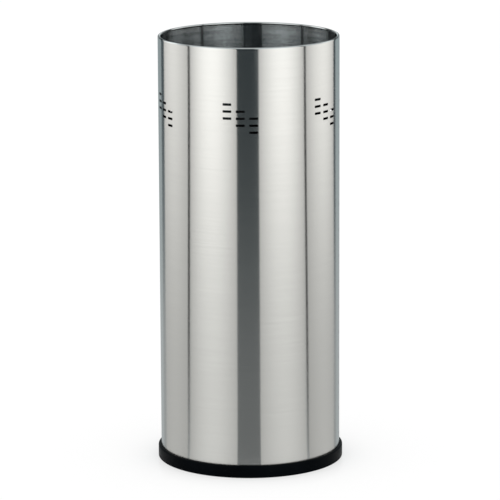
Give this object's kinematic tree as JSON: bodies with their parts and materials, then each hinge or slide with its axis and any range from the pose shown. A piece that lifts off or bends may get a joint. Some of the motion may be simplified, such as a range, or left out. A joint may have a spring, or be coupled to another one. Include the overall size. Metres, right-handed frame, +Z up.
{
  "type": "umbrella stand",
  "caption": "Tall open-topped umbrella stand: a brushed stainless steel tube with a curled rim, punched slot groups, a black base ring and a lift-out drip tray.",
  "frame": {"origin": "on the floor, on the axis of the tube", "axes": "+Z up along the tube, -Y to the front, +X to the right seen from the front"},
  "size_m": [0.217, 0.217, 0.5],
  "materials": {
    "shell_steel": "brushed round the tube, satin",
    "bottom_steel": "zinc plated, dull",
    "ring_plastic": "moulded black, satin",
    "tray_plastic": "moulded black, matt",
    "screw_steel": "zinc plated, bright"
  },
  "bodies": {
    "stand": {"shell": "shell_steel", "bottom_plate": "bottom_steel", "base_ring": "ring_plastic", "base_screw_1": "screw_steel", "base_screw_2": "screw_steel", "base_screw_3": "screw_steel", "base_screw_4": "screw_steel"},
    "tray": {"drip_tray": "tray_plastic"}
  },
  "joints": [
    {"name": "tray_lift", "type": "slide", "parent": "stand", "child": "tray", "axis": [0, 0, 1], "range_m": [0, 0.5]}
  ]
}
